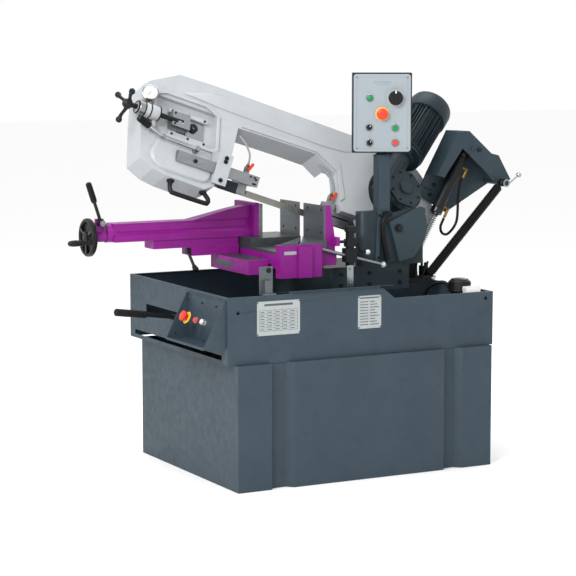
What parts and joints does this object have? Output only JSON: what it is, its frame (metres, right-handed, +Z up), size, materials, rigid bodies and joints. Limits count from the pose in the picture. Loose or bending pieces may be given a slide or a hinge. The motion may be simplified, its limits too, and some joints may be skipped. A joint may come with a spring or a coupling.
{
  "type": "metal-cutting band saw",
  "caption": "Pedestal metal-cutting band saw: swivelling turret, tilting inclined bow with band wheels, screw vise, coolant tray and swivelling control panel.",
  "frame": {"origin": "middle of the pedestal's footprint, on the floor", "axes": "+Z up, -Y the operator's side with the control panel, -X the end with the blade tension head"},
  "size_m": [1.9172, 0.911, 1.551],
  "materials": {
    "base_paint": "satin blue-grey powder coat",
    "dark_paint": "dark slate machine enamel",
    "sheet_dark": "dark slate enamel on sheet",
    "purple_paint": "gloss purple machine enamel",
    "bow_paint": "light grey machine enamel",
    "motor_paint": "dark slate enamel",
    "steel": "machined steel",
    "dark_steel": "blackened steel",
    "blade_steel": "bright band",
    "chromed": "bright chrome",
    "brass": "turned brass",
    "black_plastic": "moulded black",
    "white_plastic": "moulded white",
    "panel_paint": "light grey",
    "red_plastic": "moulded red",
    "green_plastic": "moulded green",
    "hose": "clear orange-brown hose"
  },
  "bodies": {
    "base": {"pedestal": "base_paint", "tray": "base_paint", "control_wedge": "base_paint", "turret_column": "dark_paint", "vise_bed": "purple_paint", "worktable": "dark_paint", "fixed_jaws": "steel", "stop_stand": "dark_steel", "post_bracket": "base_paint", "drip_sheet": "base_paint", "coolant_pump": "black_plastic"},
    "wedge_estop": {"wedge_estop": "red_plastic"},
    "wedge_button_red": {"wedge_button_red": "red_plastic"},
    "wedge_button_white": {"wedge_button_white": "white_plastic"},
    "stop_rod": {"stop_rod": "steel"},
    "stop_lever": {"stop_lever": "dark_steel"},
    "lock_lever": {"lock_lever": "dark_steel"},
    "turret": {"turret_casting": "dark_paint", "pivot_cover": "sheet_dark", "pivot_shaft": "steel", "panel_post": "sheet_dark", "strut_foot": "dark_steel", "counter_spring": "dark_steel"},
    "panel": {"panel_box": "panel_paint"},
    "power_knob": {"power_knob": "black_plastic"},
    "panel_estop": {"panel_estop": "red_plastic"},
    "selector_upper": {"selector_upper": "black_plastic"},
    "selector_lower": {"selector_lower": "black_plastic"},
    "button_green": {"button_green": "green_plastic"},
    "button_red": {"button_red": "red_plastic"},
    "bow": {"bow_casting": "bow_paint", "blade": "blade_steel", "guide_clamp": "bow_paint", "bow_handle": "black_plastic", "tension_housing": "white_plastic", "tension_gauge": "brass", "gearbox": "dark_paint", "motor": "motor_paint", "rear_bracket": "sheet_dark", "fixed_guide": "steel", "coolant_hoses": "hose"},
    "rear_cover": {"rear_cover": "sheet_dark"},
    "tension_block": {"tension_block": "chromed"},
    "idler_wheel": {"idler_wheel": "dark_paint"},
    "tension_handle": {"tension_handle": "black_plastic"},
    "drive_wheel": {"drive_wheel": "dark_paint"},
    "guide_arm": {"guide_arm": "steel"},
    "guide_rod": {"guide_rod": "chromed"},
    "valve_left": {"valve_left": "red_plastic"},
    "valve_right": {"valve_right": "red_plastic"},
    "strut_barrel": {"strut_barrel": "dark_steel"},
    "strut_rod": {"strut_rod": "steel", "strut_spring": "chromed"},
    "vise_carriage": {"vise_carriage": "purple_paint"},
    "vise_arm": {"vise_arm": "purple_paint", "vise_jaw": "steel"},
    "handwheel": {"handwheel": "black_plastic"},
    "crank_handle": {"crank_handle": "black_plastic"},
    "clamp_lever": {"clamp_lever": "black_plastic"},
    "carriage_lever": {"carriage_lever": "dark_steel"}
  },
  "joints": [
    {"name": "turret_swivel", "type": "hinge", "parent": "base", "child": "turret", "pos_m": [-0.035, 0.045, 0.7], "axis": [0, 0, 1], "range_deg": [0, 60]},
    {"name": "bow_pivot", "type": "hinge", "parent": "turret", "child": "bow", "pos_m": [0.308, 0, 0.932], "axis": [0, 1, 0], "range_deg": [-16, 12], "deforming": ["counter_spring"]},
    {"name": "strut_rod_pivot", "type": "hinge", "parent": "turret", "child": "strut_rod", "pos_m": [0.46, 0.018, 0.755], "axis": [0, 1, 0], "range_deg": [-14, 11]},
    {"name": "strut_barrel_pivot", "type": "hinge", "parent": "bow", "child": "strut_barrel", "pos_m": [0.72503, 0.018, 1.23375], "axis": [0, 1, 0], "range_deg": [-2, 2.6]},
    {"name": "panel_swivel", "type": "hinge", "parent": "turret", "child": "panel", "pos_m": [0.253, -0.092, 1.23], "axis": [0, 0, 1], "range_deg": [-30, 30]},
    {"name": "tension_slide", "type": "slide", "parent": "bow", "child": "tension_block", "axis": [0.9478, 0, -0.319], "range_m": [0, 0.005]},
    {"name": "tension_screw", "type": "hinge", "parent": "bow", "child": "tension_handle", "pos_m": [-0.77657, 0.03794, 1.43701], "axis": [0.9478, 0, -0.319], "range_deg": [0, 900]},
    {"name": "idler_spin", "type": "hinge", "parent": "tension_block", "child": "idler_wheel", "pos_m": [-0.51352, 0.12246, 1.30943], "axis": [-0.1497, 0.8829, -0.4449], "continuous": true},
    {"name": "drive_spin", "type": "hinge", "parent": "bow", "child": "drive_wheel", "pos_m": [0.38117, 0.12246, 1.00833], "axis": [-0.1497, 0.8829, -0.4449], "continuous": true},
    {"name": "guide_slide", "type": "slide", "parent": "bow", "child": "guide_arm", "axis": [0.9478, 0, -0.319], "range_m": [-0.015, 0.14]},
    {"name": "guide_lock", "type": "hinge", "parent": "bow", "child": "guide_rod", "pos_m": [-0.52917, -0.02595, 1.26293], "axis": [-0.1497, 0.8829, -0.4449], "range_deg": [-12, 3]},
    {"name": "cover_hinge", "type": "hinge", "parent": "bow", "child": "rear_cover", "pos_m": [-0.17825, 0.26305, 1.39019], "axis": [0.9478, 0, -0.319], "range_deg": [0, 95]},
    {"name": "valve_left_turn", "type": "hinge", "parent": "guide_arm", "child": "valve_left", "pos_m": [-0.29688, 0.002, 1.17566], "axis": [0, 1, 0], "range_deg": [-60, 60]},
    {"name": "valve_right_turn", "type": "hinge", "parent": "bow", "child": "valve_right", "pos_m": [0.08792, 0.022, 1.04616], "axis": [0, 1, 0], "range_deg": [-60, 15]},
    {"name": "turret_lock", "type": "hinge", "parent": "base", "child": "lock_lever", "pos_m": [-0.035, 0.045, 0.6], "axis": [0, 0, 1], "range_deg": [-24, 0]},
    {"name": "vise_shift", "type": "slide", "parent": "base", "child": "vise_carriage", "axis": [0, -1, 0], "range_m": [0, 0.07]},
    {"name": "vise_slide", "type": "slide", "parent": "vise_carriage", "child": "vise_arm", "axis": [1, 0, 0], "range_m": [-0.15, 0.134]},
    {"name": "screw_turn", "type": "hinge", "parent": "vise_arm", "child": "handwheel", "pos_m": [-0.89, 0.197, 0.921], "axis": [1, 0, 0], "continuous": true},
    {"name": "crank_spin", "type": "hinge", "parent": "handwheel", "child": "crank_handle", "pos_m": [-0.95, 0.137, 0.907], "axis": [1, 0, 0], "continuous": true},
    {"name": "quick_lever", "type": "hinge", "parent": "vise_arm", "child": "clamp_lever", "pos_m": [-0.845, 0.178, 0.976], "axis": [0, 1, 0], "range_deg": [-10, 75]},
    {"name": "shift_lever", "type": "hinge", "parent": "vise_carriage", "child": "carriage_lever", "pos_m": [-0.478, 0.17, 0.85], "axis": [1, 0, 0], "range_deg": [0, 30]},
    {"name": "stop_slide", "type": "slide", "parent": "base", "child": "stop_rod", "axis": [0.9658, 0, -0.2592], "range_m": [0, 0.1]},
    {"name": "stop_clamp", "type": "hinge", "parent": "base", "child": "stop_lever", "pos_m": [0.09, -0.165, 0.887], "axis": [1, 0, 0], "range_deg": [-60, 30]},
    {"name": "power_turn", "type": "hinge", "parent": "panel", "child": "power_knob", "pos_m": [0.27632, -0.16103, 1.452], "axis": [0.4695, 0.8829, 0], "range_deg": [0, 90]},
    {"name": "selector_upper_turn", "type": "hinge", "parent": "panel", "child": "selector_upper", "pos_m": [0.1845, -0.1122, 1.336], "axis": [0.4695, 0.8829, 0], "range_deg": [-45, 45]},
    {"name": "selector_lower_turn", "type": "hinge", "parent": "panel", "child": "selector_lower", "pos_m": [0.18626, -0.11314, 1.275], "axis": [0.4695, 0.8829, 0], "range_deg": [-45, 45]},
    {"name": "panel_estop_push", "type": "slide", "parent": "panel", "child": "panel_estop", "axis": [0.4695, 0.8829, 0], "range_m": [0, 0.005], "stiffness_N_per_m": 1500},
    {"name": "green_push", "type": "slide", "parent": "panel", "child": "button_green", "axis": [0.4695, 0.8829, 0], "range_m": [0, 0.003], "stiffness_N_per_m": 800},
    {"name": "red_push", "type": "slide", "parent": "panel", "child": "button_red", "axis": [0.4695, 0.8829, 0], "range_m": [0, 0.003], "stiffness_N_per_m": 800},
    {"name": "wedge_estop_push", "type": "slide", "parent": "base", "child": "wedge_estop", "axis": [0.8904, 0, -0.4552], "range_m": [0, 0.005], "stiffness_N_per_m": 1500},
    {"name": "wedge_red_push", "type": "slide", "parent": "base", "child": "wedge_button_red", "axis": [0.8904, 0, -0.4552], "range_m": [0, 0.003], "stiffness_N_per_m": 800},
    {"name": "wedge_white_push", "type": "slide", "parent": "base", "child": "wedge_button_white", "axis": [0.8904, 0, -0.4552], "range_m": [0, 0.003], "stiffness_N_per_m": 800}
  ],
  "couplings": [
    {"joint": "strut_rod_pivot", "follows": "bow_pivot", "ratio": 0.85},
    {"joint": "strut_barrel_pivot", "follows": "bow_pivot", "ratio": -0.15},
    {"joint": "tension_screw", "follows": "tension_slide", "rad_per_m": 3141.6},
    {"joint": "idler_spin", "follows": "drive_spin", "ratio": 1},
    {"joint": "screw_turn", "follows": "vise_slide", "rad_per_m": 1047.2}
  ]
}
